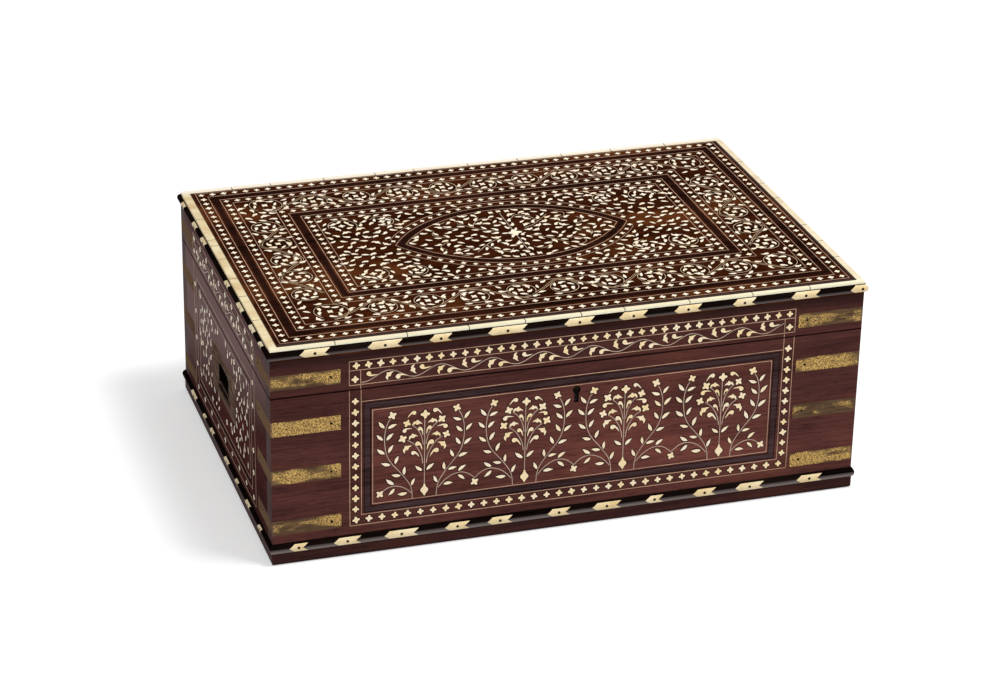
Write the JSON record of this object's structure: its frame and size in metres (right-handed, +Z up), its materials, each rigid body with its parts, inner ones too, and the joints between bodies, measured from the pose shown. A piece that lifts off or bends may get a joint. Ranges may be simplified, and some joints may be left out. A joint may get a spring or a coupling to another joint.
{
  "type": "dressing box",
  "caption": "Rosewood dressing box with a hinged lid, ebony beads, bone inlay trim, brass corner straps, flush side handles, a box lock, a lid mirror and a lift-out tray.",
  "frame": {"origin": "middle of the footprint, on the ground", "axes": "+X to the right as one faces the keyhole, +Y to the hinges at the back, +Z up"},
  "size_m": [0.4546, 0.3031, 0.172],
  "materials": {
    "rosewood": "satin",
    "ebony": "satin",
    "bone": "satin",
    "strap_brass": "satin",
    "handle_brass": "satin",
    "hinge_brass": "satin",
    "lock_steel": "satin",
    "mirror": "polished",
    "sandalwood": "satin"
  },
  "bodies": {
    "base": {"base_back_board": "rosewood", "base_bead_back": "ebony", "base_bead_front": "ebony", "base_bead_left": "ebony", "base_bead_right": "ebony", "base_bone_plaques": "bone", "base_corner_straps": "strap_brass", "base_front_board": "rosewood", "base_left_board": "rosewood", "base_plaque_pins": "ebony", "base_right_board": "rosewood", "base_strap_pins": "strap_brass", "bottom_board": "rosewood", "front_ebony_band": "ebony", "hinge_base_leaves": "hinge_brass", "hinge_base_screws": "hinge_brass", "hinge_pins": "hinge_brass", "left_handle_pins": "handle_brass", "left_handle_plate": "handle_brass", "left_handle_screws": "handle_brass", "lock_case": "lock_steel", "lock_key_pin": "lock_steel", "lock_screws": "lock_steel", "lock_top_plate": "lock_steel", "right_handle_pins": "handle_brass", "right_handle_plate": "handle_brass", "right_handle_screws": "handle_brass", "tray_bearers": "sandalwood"},
    "lid": {"hinge_lid_leaves": "hinge_brass", "hinge_lid_screws": "hinge_brass", "lid_back_rail": "rosewood", "lid_bead_back": "ebony", "lid_bead_front": "ebony", "lid_bead_left": "ebony", "lid_bead_right": "ebony", "lid_bone_banding": "bone", "lid_bone_plaques": "bone", "lid_corner_straps": "strap_brass", "lid_front_rail": "rosewood", "lid_inner_ebony_band": "ebony", "lid_left_rail": "rosewood", "lid_outer_ebony_band": "ebony", "lid_oval_ebony_band": "ebony", "lid_plaque_pins": "ebony", "lid_right_rail": "rosewood", "lid_strap_pins": "strap_brass", "lid_top_panel": "rosewood", "lock_link_plate": "lock_steel", "lock_link_screws": "lock_steel", "mirror_frame": "rosewood", "mirror_glass": "mirror"},
    "left_bail": {"left_bail": "handle_brass"},
    "right_bail": {"right_bail": "handle_brass"},
    "lock_bolt": {"lock_bolt": "lock_steel"},
    "tray": {"tray_divider": "sandalwood", "tray_end_walls": "sandalwood", "tray_floor_board": "sandalwood", "tray_long_walls": "sandalwood", "tray_partitions": "sandalwood"}
  },
  "joints": [
    {"name": "lid_hinge", "type": "hinge", "parent": "base", "child": "lid", "pos_m": [0, 0.1496, 0.1335], "axis": [-1, 0, 0], "range_deg": [0, 105]},
    {"name": "left_bail_swing", "type": "hinge", "parent": "base", "child": "left_bail", "pos_m": [-0.222, 0.0045, 0.0855], "axis": [0, 1, 0], "range_deg": [0, 90]},
    {"name": "right_bail_swing", "type": "hinge", "parent": "base", "child": "right_bail", "pos_m": [0.222, 0.0045, 0.0855], "axis": [0, -1, 0], "range_deg": [0, 90]},
    {"name": "lock_bolt_slide", "type": "slide", "parent": "base", "child": "lock_bolt", "axis": [1, 0, 0], "range_m": [0, 0.006]},
    {"name": "tray_lift", "type": "slide", "parent": "base", "child": "tray", "axis": [0, 0, 1], "range_m": [0, 0.02]}
  ]
}
